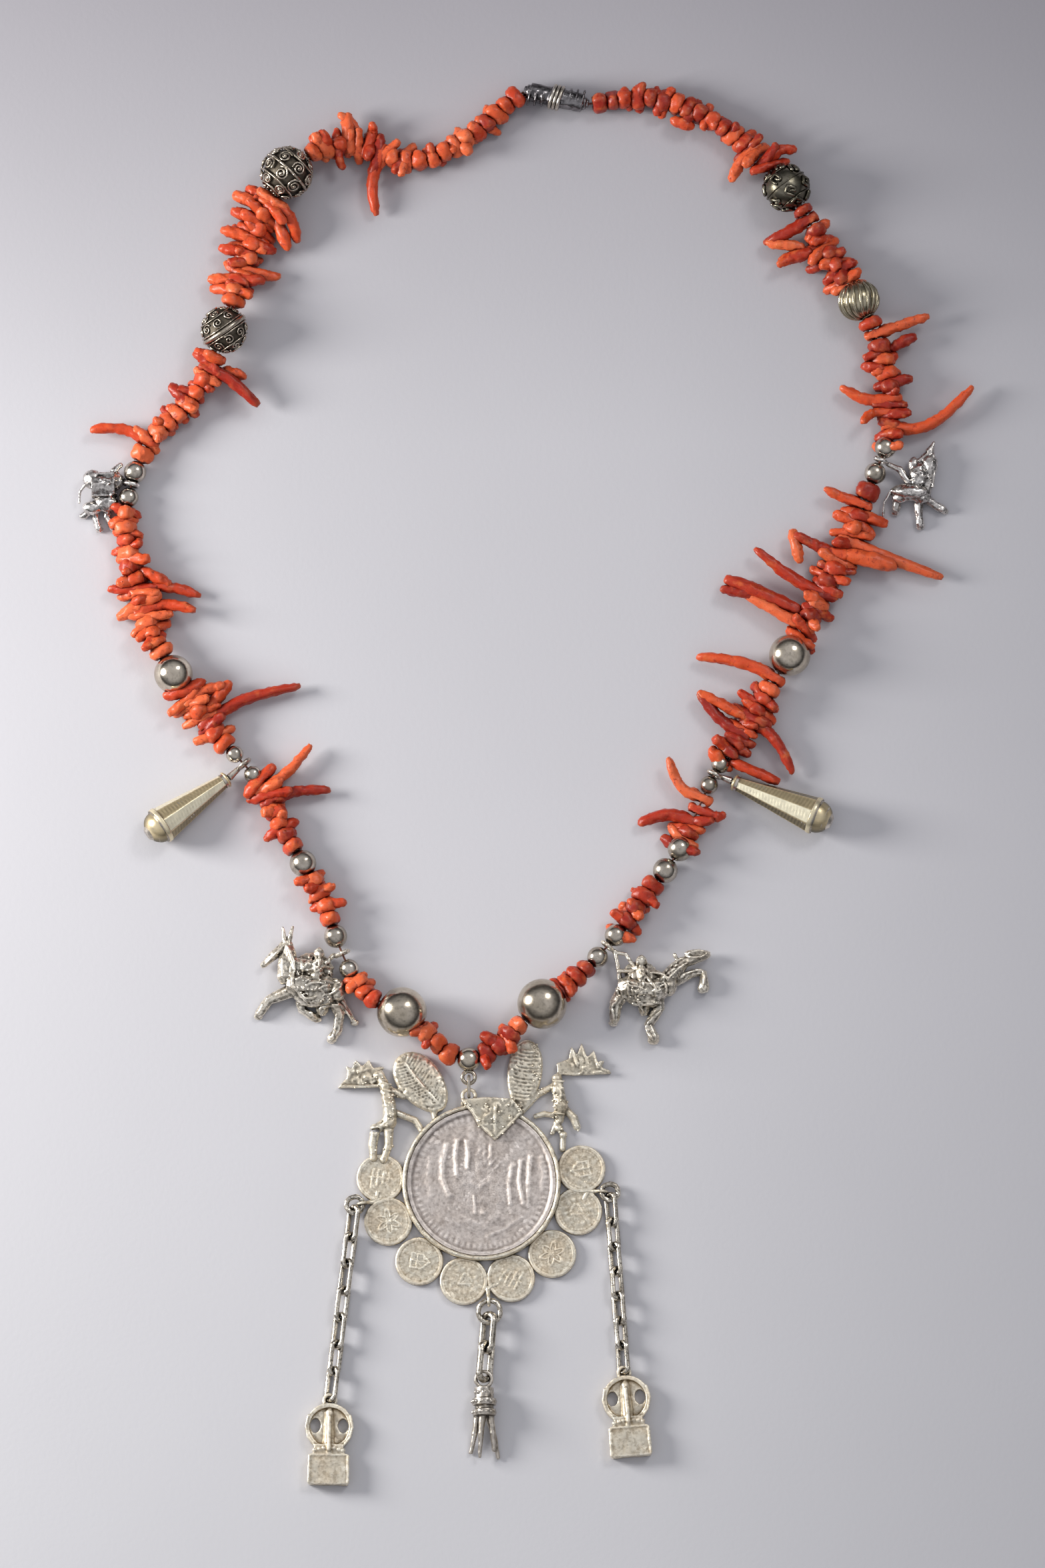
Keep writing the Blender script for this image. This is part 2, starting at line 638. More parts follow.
def spirals(shape, c, r, basis, rnd, rows, turns, wire, granules=False):
    """Rows of spirals: latitude, count, size, shift along the row, and hand of the first."""
    for lat, count, size, shift, hand in rows:
        for k in range(count):
            d = on_ball(np.zeros(3), basis, 1.0, lat, 2 * pi * (k + shift) / count)
            scroll(shape, c, r, d, size, turns, wire, rnd.random() * 6, hand * (-1) ** k)
            if granules:
                shape.ball(c + d * (r + 0.05), 0.42, nu=10, nv=7)


def ring_on_ball(shape, c, basis, r, lat, wire, n=40):
    shape.tube([on_ball(c, basis, r, lat, a) for a in around(n)], wire, closed=True, up=basis[:, 2])


def filigree_bead():
    c, r, axis = rows_of("bead_filigree")[0]
    b = frame_about(axis)
    core, work = Shape(), Shape()
    plain_bead(core, c, r - 0.95, axis, bore=1.4, collar=0.4)
    for lat, wire in ((0.0, 0.34), (0.62, 0.24), (-0.62, 0.24), (1.12, 0.3), (-1.12, 0.3)):
        ring_on_ball(work, c, b, r - wire - 0.05, lat, wire)
    spirals(work, c, r - 0.3, b, random.Random(4), ((0.31, 8, 1.75, 0, -1), (-0.31, 8, 1.75, 0.5, 1),
                                                    (0.87, 6, 1.4, 0, -1), (-0.87, 6, 1.4, 0.5, 1)),
            1.9, 0.26, granules=True)
    for a in around(16):
        work.ball(on_ball(c, b, r - 0.3, 0.0, a), 0.4, nu=8, nv=6)
    for side in (-1, 1):
        end = c + b[:, 2] * side * (r - 0.55)
        for a in around(10):
            work.ball(end + b[:, 0] * 1.75 * cos(a) + b[:, 1] * 1.75 * sin(a), 0.34, nu=8, nv=6)
    made("bead_filigree_core", core, HOLLOW, slot="dark_silver")
    made("bead_filigree_wires", work, FILIGREE, ["bead_filigree"], "dark_silver", [(1.2, 0.05)])


def seamed_bead():
    c, r, axis = rows_of("bead_seamed")[0]
    b = frame_about((-0.57, 0.8, 0.2))
    core, work = Shape(), Shape()
    plain_bead(core, c, r - 0.75, axis)
    ring_on_ball(work, c, b, r - 0.62, 0.0, 0.68, n=64)
    for lat in (0.17, -0.17):
        work.tube([on_ball(c, b, r - 0.42, lat, a) for a in around(90)],
                  [0.16 + 0.07 * (i % 3 == 0) for i in range(90)], 6, closed=True, up=b[:, 2])
    spirals(work, c, r - 0.48, b, random.Random(9), ((0.46, 9, 1.3, 0, -1), (-0.46, 9, 1.3, 0, -1),
                                                     (0.98, 6, 1.1, 0.5, -1), (-0.98, 6, 1.1, 0.5, -1)),
            1.5, 0.2)
    for side in (-1, 1):
        ring_on_ball(work, c, b, r - 0.45, side * 0.74, 0.16)
        ring_on_ball(work, c, b, r - 0.45, side * 1.3, 0.26)
    made("bead_seamed_core", core, HOLLOW, slot="dark_silver")
    made("bead_seamed_wires", work, FILIGREE, ["bead_seamed"], "dark_silver", [(1.1, 0.05)])


def scroll_bead():
    """Dark polished ball with raised squarish scrolls."""
    c, r, axis = rows_of("bead_scroll")[0]
    b = frame_about(axis)
    work = Shape()
    plain_bead(work, c, r - 0.55, axis, collar=0.7)
    w, h = 0.2, 0.17
    corners = [(w, -h), (-w, -h), (-w, h), (w, h), (w, 0.2 * h), (-0.2 * w, 0.1 * h)]
    for row, (lat, count) in enumerate(((0.5, 5), (-0.35, 6), (-1.0, 4), (1.05, 4))):
        for k in range(count):
            d = on_ball(np.zeros(3), b, 1.0, lat, 2 * pi * (k + 0.45 * row) / count)
            e = frame_about(d)
            # a different turn for each scroll
            turn = sin((k + row * 7) * 12.9898) * 3.1
            pts = []
            for (x0, y0), (x1, y1) in zip(corners, corners[1:]):
                for i in range(4):
                    x, y = x0 + (x1 - x0) * i / 4, y0 + (y1 - y0) * i / 4
                    x, y = x * cos(turn) - y * sin(turn), x * sin(turn) + y * cos(turn)
                    pts.append(c + unit(d + e[:, 0] * x + e[:, 1] * y) * (r - 0.3))
            work.tube(pts, 0.42, up=d)
    for lat in (0.1, -0.72, 0.82):
        ring_on_ball(work, c, b, r - 0.34, lat, 0.13)
    made("bead_scrolled", work, DARK, ["bead_scroll"], "dark_silver", [(0.5, 0.08), (1.4, 0.04)])


def ribbed_bead():
    """Swirled melon bead with ribs from end to end."""
    c, r, axis = rows_of("bead_ribbed")[0]
    b = frame_about(axis)
    work = Shape()
    plain_bead(work, c, r - 0.35, axis, collar=0.6)
    for k in range(15):
        pts, radii = [], []
        for i in range(15):
            t = i / 14
            lat = -1.25 + 2.5 * t
            pts.append(on_ball(c, b, r - 0.36, lat, 2 * pi * k / 15 + 1.1 * (t - 0.5)))
            radii.append(0.2 + 0.3 * sin(pi * t))
        work.tube(pts, radii, up=pts[7] - c)
    for side in (-1, 1):
        ring_on_ball(work, c, b, r - 0.25, side * 1.28, 0.26)
    made("bead_ribs", work, OLIVE, ["bead_ribbed"], "dark_silver", [(0.6, 0.08), (1.8, 0.04)])


HOLLOW = silver("hollow", (0.16, 0.135, 0.105), (0.07, 0.06, 0.045), (0.008, 0.007, 0.005),
                (0.5, 0.7))
OLIVE = silver("olive_silver", (0.62, 0.55, 0.40), (0.33, 0.285, 0.19), (0.03, 0.025, 0.014),
               (0.2, 0.38))
plain_beads("beads_plain", ["horse_beads_left", "cone_beads_left", "rider_beads_left",
                            "bead_medium_left", "rider_beads_right", "beads_medium_right",
                            "cone_beads_right", "horse_beads_right"], BALL, dents=0.07, collar=0.3, n=28)
plain_beads("beads_round", ["bead_round_left", "bead_round_right"], BEAD, dents=0.05)
plain_beads("beads_large", ["bead_large_left", "bead_large_right"], BEAD, dents=0.08, bore=1.05, flat=0.92,
            n=64)
filigree_bead()
seamed_bead()
scroll_bead()
ribbed_bead()

# ---- cast charms
# The share of a cast piece's faces that is kept at the end
CAST_KEPT = 0.46
# Rays onto a charm start at this height, mm, and go down
ABOVE = 20
DOWN = Vector((0, 0, -1))
# Granules: places tried for each, the least upward slope of a face, and the spacing in radii
TRIES, UPWARD, SPACING = 12, 0.25, 1.9


def stroke(shape, *bars):
    """Tapering bars, each through rows of x, y, z, radius."""
    for rows in bars:
        pts, radii = [], []
        for a, b in zip(rows, rows[1:]):
            for i in range(4):
                t = i / 4
                pts.append(at(*(a[k] + (b[k] - a[k]) * t for k in range(3))))
                radii.append(a[3] + (b[3] - a[3]) * t)
        shape.tube([*pts, at(*rows[-1][:3])], [*radii, rows[-1][3]])


def lumps(shape, rows):
    """Ellipsoids: x, y, z, radius, three factors, number of faces round and up."""
    for x, y, z, *rest in rows:
        shape.ball(at(x, y, z), *rest)


def scattered(shape, mesh, count, size, region, seed):
    """Granules on the upper faces of a mesh inside a region (x0, y0, x1, y1), drawing mm."""
    rnd = random.Random(seed)
    co, n = per_vertex(mesh, "co") / MM, per_vertex(mesh, "normal")
    low, high = np.array(at(*region[:2]))[:2], np.array(at(*region[2:]))[:2]
    ok = np.where(((co[:, :2] > low) & (co[:, :2] < high)).all(1) & (n[:, 2] > UPWARD))[0]
    taken = []
    for _ in range(count * TRIES):
        if len(taken) >= count or not len(ok):
            break
        i = ok[rnd.randrange(len(ok))]
        if all(np.linalg.norm(co[i] - q) > size * SPACING for q in taken):
            taken.append(co[i])
            shape.ball(co[i] + n[i] * size * 0.2, size * rnd.uniform(0.8, 1.15), nu=8, nv=6)


def cast(name, node, extra, voxel, material, rough, grains=()):
    """A packed charm with worked detail: joined, remeshed, softened and a little uneven."""
    b = welded(node)
    b.from_mesh(extra.mesh("extra"))
    me = baked(mesh_of(b, name), ("REMESH", {"mode": "VOXEL", "voxel_size": voxel * MM}),
               ("SMOOTH", {"factor": 0.5, "iterations": 2}))
    me = baked(roughened(me, rough, len(name) * 1.7), ("DECIMATE", {"ratio": CAST_KEPT}))
    if grains:
        shape = Shape()
        for g in grains:
            scattered(shape, me, *g)
        b = bmesh.new()
        b.from_mesh(me)
        b.from_mesh(shape.mesh("grains"))
        b.to_mesh(me)
        b.free()
    settle(me, per_vertex(me, "co"))
    piece(name, me, material, [node])


def ring_flat(shape, x, y, z, big, wire):
    shape.tube([at(x + big * cos(a), y + big * sin(a), z) for a in around(20)], wire, 7, closed=True)


def top_of(node, extra):
    """A tree of the charm with what is added, to lay detail on its upper side."""
    b = welded(node)
    b.from_mesh(extra.mesh("extra"))
    tree = BVHTree.FromBMesh(b)
    b.free()
    return tree


def folds(shape, tree, rows):
    """Tapered ridges that follow the upper side: x0, y0, x1, y1, bend, radius."""
    for x0, y0, x1, y1, bend, r in rows:
        a, b = np.array(at(x0, y0)), np.array(at(x1, y1))
        side = unit(np.array((-(b - a)[1], (b - a)[0], 0)))
        pts, radii = [], []
        for i in range(7):
            q = i / 6
            c = a + (b - a) * q + side * bend * 4 * q * (1 - q)
            hit = tree.ray_cast(Vector((c[0], c[1], ABOVE)) * MM, DOWN)[0]
            if hit is not None:
                pts.append((c[0], c[1], hit[2] / MM + r * 0.2))
                radii.append(r * (0.55 + 0.45 * sin(pi * q)))
        if len(pts) > 2:
            shape.tube(pts, radii, 6)


def worked(shape, tree, region, count, seed, r=(0.2, 0.34), long=(0.9, 1.9)):
    """Short ridges turned all ways inside an ellipse x, y, half width, half height."""
    rnd = random.Random(seed)
    x, y, w, h = region
    rows = []
    for _ in range(count):
        a, q = rnd.uniform(0, 2 * pi), sqrt(rnd.random())
        px, py = x + w * q * cos(a), y + h * q * sin(a)
        t, size = rnd.uniform(0, pi), rnd.uniform(*long)
        dx, dy = cos(t) * size / 2, sin(t) * size / 2
        rows.append((px - dx, py - dy, px + dx, py + dy, rnd.uniform(-0.35, 0.35), rnd.uniform(*r)))
    folds(shape, tree, rows)


def charm(name, node, material, voxel, rough, masses, bars=(), feet=(), ridges=(), texture=(), grains=()):
    """A cast animal: masses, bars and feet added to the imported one, then ridges laid over its upper side."""
    e = Shape()
    lumps(e, masses)
    stroke(e, *bars)
    lumps(e, feet)
    tree = top_of(node, e)
    folds(e, tree, ridges)
    for patch in texture:
        worked(e, tree, *patch)
    cast(name, node, e, voxel, material, rough, grains)


RIDER_ROUGH = ((0.5, 0.16), (1.4, 0.08), (3.2, 0.03))
HORSE_ROUGH = ((0.8, 0.16), (2.4, 0.07))
# Left rider: the masses are the cloth, saddle and neck that fill the middle of the charm
charm("horse_rider_l", "horse_rider_left", CHARM, 0.17, RIDER_ROUGH,
      [(-50.6, -46.4, 2.2, 1.0, (5.2, 4.6, 1.7), 20, 12), (-49.8, -52.4, 2.9, 1.0, (5.4, 3.0, 2.6), 20, 12),
       (-55.4, -47.5, 2.8, 1.0, (1.9, 4.8, 2.5), 16, 10), (-44.6, -51.2, 3.0, 1.0, (2.2, 2.8, 2.5), 16, 10),
       (-42.8, -46.6, 3.0, 1.0, (1.2, 1.4, 1.4)), (-48.9, -42.1, 5.3, 0.9, (1, 1.1, 0.5))],
      feet=[(x, y, 0.75, 1.0, (1.1, 0.9, 0.6))
            for x, y in ((-63.4, -57.2), (-49.4, -57.9), (-46, -63), (-40.4, -58.6))],
      ridges=[(-56.4, -40.8, -54.7, -46.7, 0.2, 0.6), (-54.8, -46.5, -55.2, -51, -0.3, 0.6),
              (-55, -51, -51.5, -54.9, 0.3, 0.6), (-53.4, -42.6, -53, -48.4, 0.3, 0.34),
              (-51.5, -46.7, -44.3, -45.8, 0.5, 0.45), (-50.6, -41.3, -46.1, -40.8, 0.3, 0.4),
              (-48.8, -42.6, -48.8, -45.8, 0, 0.45), (-44.8, -42.6, -44.3, -45.8, 0.2, 0.45),
              (-46.6, -43, -46.9, -46, 0.2, 0.35), (-54.2, -49, -51.5, -48.1, 0.3, 0.4),
              (-51.9, -50.4, -47.9, -49.9, 0.4, 0.42), (-53.3, -53.1, -49.7, -53.1, -0.4, 0.42),
              (-48.8, -51.3, -46.1, -50.4, 0.3, 0.4), (-48.8, -55.8, -43.4, -54.9, 0.5, 0.45),
              (-44.3, -54.4, -42.5, -56.7, 0.2, 0.4), (-46.2, -52.4, -43.4, -50, -0.3, 0.38),
              (-51, -56, -50.2, -57.6, 0, 0.35), (-60.6, -43.4, -57.6, -40.6, -0.2, 0.4),
              (-61.6, -44.6, -58.8, -42.8, 0.2, 0.3), (-62.4, -57, -58, -53.8, 0.2, 0.4),
              (-44.8, -57, -45.6, -62.4, 0.2, 0.4), (-42.8, -55.6, -41, -58.6, 0.1, 0.35)],
      texture=[((-49.4, -50.4, 5.2, 4.4), 26, 41, (0.2, 0.3)), ((-51, -44.4, 3.4, 2.4), 14, 42, (0.2, 0.3))],
      grains=[(16, 0.3, (-54, -55, -44, -46), 1)])
# Right rider: long flattened head, and cloth round the saddle
charm("horse_rider_r", "horse_rider_right", CHARM, 0.17, RIDER_ROUGH,
      [(41.6, -42.3, 2.9, 1.0, (3.0, 1.1, 0.8), 16, 10), (28.8, -50.9, 2.8, 1.0, (6.6, 3.7, 2.6), 20, 12),
       (28, -46.6, 2.4, 1.0, (4.0, 2.6, 1.8), 16, 10), (34.4, -49.6, 3, 1.0, (2.6, 3.2, 2.2), 16, 10),
       (28.3, -43.9, 5.3, 0.85, (1, 1.1, 0.5))],
      feet=[(31.2, -63, 1.45, 1.35, (1.1, 0.9, 0.9)), (43, -50.6, 1.35, 1.25, (1, 1, 0.95)),
            (21.6, -58.8, 0.85, 1.0, (1.15, 0.9, 0.75))],
      ridges=[(39.2, -42.6, 44, -42, 0.7, 0.34), (39.2, -42.8, 44, -42.4, -0.7, 0.3),
              (33.4, -47.6, 38.4, -43.2, 0.4, 0.5), (34.6, -49, 39.4, -44.6, 0.4, 0.42),
              (37.3, -48.7, 41, -46.4, 0.4, 0.5), (41, -46.4, 43.4, -46.6, 0.3, 0.5),
              (43.2, -46.6, 43.2, -49.8, 0.2, 0.5), (28.1, -47.2, 32.1, -52, 0.4, 0.48),
              (27, -53.2, 28.8, -56.5, 0.1, 0.45), (33.6, -49.4, 34.3, -52.2, 0.3, 0.45),
              (25.6, -47.4, 25.4, -53, -0.4, 0.42), (30.6, -47.2, 34.2, -48, 0.2, 0.4),
              (24, -50.6, 29, -51.4, 0.4, 0.42), (25, -54.4, 33, -54.2, -0.5, 0.42),
              (33.6, -55.8, 29.4, -59.9, -0.3, 0.5), (29.4, -59.8, 31, -63, -0.2, 0.5),
              (22.6, -53.6, 19.8, -56.2, 0.2, 0.42), (21, -54.6, 21.8, -58.4, 0.1, 0.42),
              (22.2, -48.6, 23.2, -53, -0.3, 0.4), (27.4, -44.6, 27.2, -47, 0, 0.4),
              (29.6, -44.6, 29.8, -47, 0, 0.4)],
      texture=[((28.8, -51, 6, 3.6), 28, 43, (0.2, 0.3)), ((36, -46.6, 2.6, 2.6), 8, 44)],
      grains=[(16, 0.3, (23, -54.5, 36, -47), 4)])
charm("small_horse_l", "small_horse_left", STEEL, 0.15, HORSE_ROUGH,
      [(-99.8, 72.8, 3.0, 1.0, (3.7, 2.5, 2.3), 16, 10), (-100.4, 67.8, 2.4, 1.0, (3.0, 2.3, 1.9), 16, 10),
       (-103.6, 66.6, 2.3, 1.0, (2.5, 1.7, 1.7), 16, 10), (-103.6, 73.4, 3.2, 1.0, (2.4, 2.4, 2.0), 16, 10)],
      bars=[[(-103.8, 74.3, 4.7, 0.3), (-98.6, 74.7, 4.7, 0.3)],
            [(-103.4, 69.2, 4.4, 0.3), (-98.8, 69.4, 4.4, 0.3)],
            [(-101.6, 68.6, 3.4, 0.6), (-103.6, 66, 2.6, 0.5)], [(-99.4, 69, 3.6, 0.6), (-100, 65.4, 2.3, 0.5)],
            [(-103.2, 71.9, 5.75, 0.28), (-98.8, 72, 5.6, 0.28)],
            [(-104.6, 73.4, 3.4, 0.4), (-106.6, 70.6, 2.6, 0.35), (-106.9, 68, 1.6, 0.3)]],
      feet=[(x, y, 0.7, 0.95, (1.1, 0.9, 0.65)) for x, y in ((-105.8, 64.9), (-102, 61.6), (-98.8, 62.2))],
      texture=[((-99.6, 71.2, 2.4, 2.8), 10, 45, (0.16, 0.26))], grains=[(8, 0.24, (-98, 66, -95, 76), 7)])
charm("small_horse_r", "small_horse_right", STEEL, 0.15, HORSE_ROUGH,
      [(93, 70.6, 2.7, 1.0, (4.8, 1.9, 2.0), 16, 10), (95.2, 74.4, 2.5, 1.0, (2.4, 3.4, 1.9), 16, 10),
       (98, 77, 2.4, 1.0, (1.9, 2.9, 1.7), 14, 10), (94, 77, 2.2, 1.0, (1.4, 2.2, 1.4), 14, 10),
       (93.3, 70.2, 3.5, 1.0, (3.8, 1.6, 1.7), 16, 10)],
      bars=[[(89.6, 70.4, 3.5, 0.5), (93, 71.4, 4.1, 0.6), (96.6, 70.3, 3.6, 0.5)],
            [(98.6, 71.6, 3.1, 0.35), (99, 75.4, 3.2, 0.35), (98.8, 79.4, 3.1, 0.35)],
            [(96.6, 72.4, 3.2, 0.3), (96.8, 76.8, 3.3, 0.3)], [(95.2, 67.6, 2.4, 0.45), (95.3, 63.4, 1.6, 0.4)],
            [(97.6, 68.7, 2.5, 0.45), (101, 66.6, 1.6, 0.4)],
            [(88.6, 70.6, 2.9, 0.4), (86.9, 68, 1.9, 0.35), (86.6, 64.8, 1, 0.3)]],
      feet=[(x, y, 0.7, 0.92, (1.1, 0.9, 0.65)) for x, y in ((95.6, 62.2), (101.5, 66), (89.6, 65.7))],
      texture=[((96, 75.4, 3, 4), 12, 46, (0.16, 0.26))], grains=[(8, 0.24, (94, 72, 99, 79), 8)])


# ---- cone drops
def cone(name, start, rim, tip, mouth, wide, seed, tones):
    """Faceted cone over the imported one: rounded ridges, hatched facets, rim and domed cap."""
    a, b, c = (np.array(at(*q)) for q in (start, rim, tip))
    axis, length, dome = unit(b - a), np.linalg.norm(b - a), np.linalg.norm(c - b)
    basis = frame_about(axis)
    n, sides, steps = 96, 8, 72
    facet_angle = 2 * pi / sides
    rows = []
    for i in range(steps):
        t = i / (steps - 1)
        rows.append((mouth + (wide - mouth) * t + 0.06, length * t, 1.0, t))
    rows += [(wide + 0.08, length - 0.55, 0.0, -1), (wide + 0.14, length - 0.35, 0.0, -1),
             (wide + 0.14, length + 0.4, 0.0, -1), (wide - 0.1, length + 0.62, 0.0, -1),
             (wide - 0.45, length + 0.62, 0.0, -1)]
    for i in range(1, 13):
        q = i / 12
        rows.append(((wide - 0.45) * cos(q * 1.42), length + 0.62 + dome * 0.8 * sin(q * 1.42), 0.0, -1))
    verts, shade = [], []
    for r, h, facet, t in rows:
        for th in around(n):
            place = (th / facet_angle) % sides
            near = abs(place - round(place))
            if facet:
                shade.append(min(1.0, tones[int(place)] + 0.45 * exp(-(near / 0.07) ** 2)
                                 + 0.07 * cos(h * 7 + place * 3)))
            else:
                shade.append(0.75 if h < length + 0.5 else 0.6 * max(0, sin(th)) ** 2)
            local = (th % facet_angle) - pi / sides
            poly = cos(pi / sides) / cos(local)
            rr = r * (1 - facet * (1 - (0.94 * poly + 0.06)))
            inner = abs(local) / (pi / sides)
            if facet and 0.05 < t < 0.96 and inner < 0.8:
                lean = 5 if int(th / facet_angle) % 2 else -5
                rr += 0.045 * cos(h * 7.5 + local * lean + seed) * (1 - inner)
            verts.append(a + basis @ np.array((rr * cos(th), rr * sin(th), h)))
    faces = bands(len(rows), n) + [tuple((len(rows) - 1) * n + k for k in range(n))]
    shape = Shape()
    shape.put(verts, faces, np.array(shade))
    shape.tube([a + axis * 0.5 + basis[:, 0] * (mouth + 0.28) * cos(th)
                + basis[:, 1] * (mouth + 0.28) * sin(th) for th in around(32)],
               0.3, closed=True, up=axis)
    me = roughened(shape.mesh(name), [(0.5, 0.05), (1.6, 0.02)], seed)
    settle(me, per_vertex(me, "co"), 2 * FLOOR_GAP)
    piece(name, me, CONE)


cone("cone_jacket_left", (-71, 0.4, 2.6), (-86.9, -11.3, 4.5), (-90.3, -13.9, 4.5), 1.5, 4.42, 1.0,
     (0.15, 1.0, 0.32, 0.9, 0.4, 0.2, 0.2, 0.2))
cone("cone_jacket_right", (50.4, -0.4, 2.6), (69.9, -8.9, 4.5), (74.1, -11.1, 4.5), 1.5, 4.42, 2.0,
     (0.1, 0.28, 1.0, 0.05, 0.1, 0.2, 0.2, 0.3))


# ---- medallion
MEDAL = (-10.0, -97.5)
MEDAL_R = 19.0
RIM_R = 18.45
COIN_R = 5.45
COIN_RING = MEDAL_R + COIN_R - 0.3
COIN_ANGLES = (177.5, 203, 232, 260, 287, 314.5, 343.4, 7.7)


def near_line(x, y, pts):
    """Distance of each place from a line through points."""
    best = np.full(x.shape, 1e9)
    for (ax, ay), (bx, by) in zip(pts, pts[1:]):
        dx, dy = bx - ax, by - ay
        t = np.clip(((x - ax) * dx + (y - ay) * dy) / (dx * dx + dy * dy + 1e-9), 0, 1)
        best = np.minimum(best, np.hypot(x - ax - t * dx, y - ay - t * dy))
    return best


def ridge(x, y, pts, width, high):
    return high * np.exp(-(near_line(x, y, pts) / width) ** 2)


def relief(shape, centre, r, low, rings, segs, height):
    """A closed disc whose top follows height(x, y) from its centre, all in mm."""
    rr = np.concatenate([[0.02], np.linspace(0.3, r, rings)])
    th = np.arange(segs) * 2 * pi / segs
    x, y = np.outer(rr, np.cos(th)), np.outer(rr, np.sin(th))
    z = height(x, y)
    cx, cy = at(*centre)[:2]
    verts = np.column_stack([(x + cx).ravel(), (y + cy).ravel(), z.ravel()])
    skirt = np.column_stack([x[-1] + cx, y[-1] + cy, np.full(segs, low)])
    verts = np.vstack([verts, skirt])
    rows = len(rr) + 1
    faces = [tuple(range(segs))] + bands(rows, segs, flip=True)
    shape.put(verts, [*faces, tuple((rows - 1) * segs + k for k in range(segs - 1, -1, -1))])


def medal_height(x, y):
    r, a = np.hypot(x, y), np.arctan2(y, x)
    z = np.full(x.shape, 1.72)
    z += 0.10 * np.cos(x * 0.16 + 0.5) * np.cos(y * 0.13)
    upright = np.cos(x * 2.1 + 0.9 * np.sin(y * 0.31) + 0.6 * np.sin(x * 0.5))
    strength = (0.5 + 0.5 * np.cos(x * 0.33 + 0.8)) * (0.6 + 0.4 * np.tanh((y + 3) / 3))
    z += 0.075 * upright * strength / (1 + np.exp((r - 14.4) / 0.4))
    z += 0.05 * np.cos(y * 1.7 + x * 0.5) / (1 + np.exp((y + 4) / 1.2)) / (1 + np.exp((r - 14) / 0.5))
    mx, my = MEDAL
    for pts, width, high in (
            ([(-18.2, -88.5), (-19.2, -92.6), (-19.2, -96.7), (-17.6, -100.7)], 0.75, 0.46),
            ([(-15.6, -87.4), (-16.1, -91), (-15.8, -95.6)], 0.6, 0.42),
            ([(-13.6, -87.6), (-13.1, -91), (-13.2, -94)], 0.5, 0.38),
            ([(-22.2, -92), (-22.8, -96), (-22, -100.4)], 0.7, 0.2),
            ([(-9.4, -88.6), (-9.2, -93)], 0.4, 0.2), ([(-7.8, -88.8), (-7.8, -93)], 0.4, 0.2),
            ([(-2.6, -93.6), (-3.4, -98), (-3, -102.6)], 0.55, 0.42),
            ([(-0.5, -92.4), (-0.9, -97), (0, -102.6)], 0.55, 0.46),
            ([(1.8, -91.4), (1.4, -97), (1.1, -103)], 0.6, 0.4),
            ([(-11.7, -100.8), (-11.5, -105)], 0.35, 0.22),
            ([(-9.3, -104.7), (-9.2, -104.6)], 0.75, 0.42),
            ([(-6.5, -98), (-5.2, -101.5), (-6.4, -105.5), (-9, -108)], 0.9, 0.18),
            ([(-14, -97.6), (-10.5, -98.6), (-7.5, -96.8)], 0.6, 0.2),
            ([(-17.6, -104), (-13.6, -106.4), (-10.6, -107.6)], 0.5, 0.14),
            ([(4.3, -91.4), (5, -95), (4.6, -99)], 0.6, 0.24),
            ([(-8.6, -110.6), (-4, -108.6), (-0.6, -106)], 0.5, 0.2)):
        z += ridge(x, y, [(px - mx, py - my) for px, py in pts], width * 1.1, high * 0.8)
    for k in range(5):
        t = k / 4
        ax, ay = -11.2 + 4.6 * t - mx, -90.9 - 3.2 * t - my
        z += ridge(x, y, [(ax, ay), (ax + 1.1, ay + 1.5)], 0.34, 0.08)
    dent = 0.5 + 0.5 * np.cos(a * 74 + 1.6 * np.sin(5 * a))
    band = np.exp(-((r - 15.6) / 0.75) ** 2)
    worn = 0.25 + 0.45 * (0.5 + 0.5 * np.cos(a + 1.9)) + 0.3 * (0.5 + 0.5 * np.cos(3 * a + 1))
    z += 0.17 * dent * band * worn
    z += 0.5 / (1 + np.exp(-(r - 16.7) / 0.16))
    return z


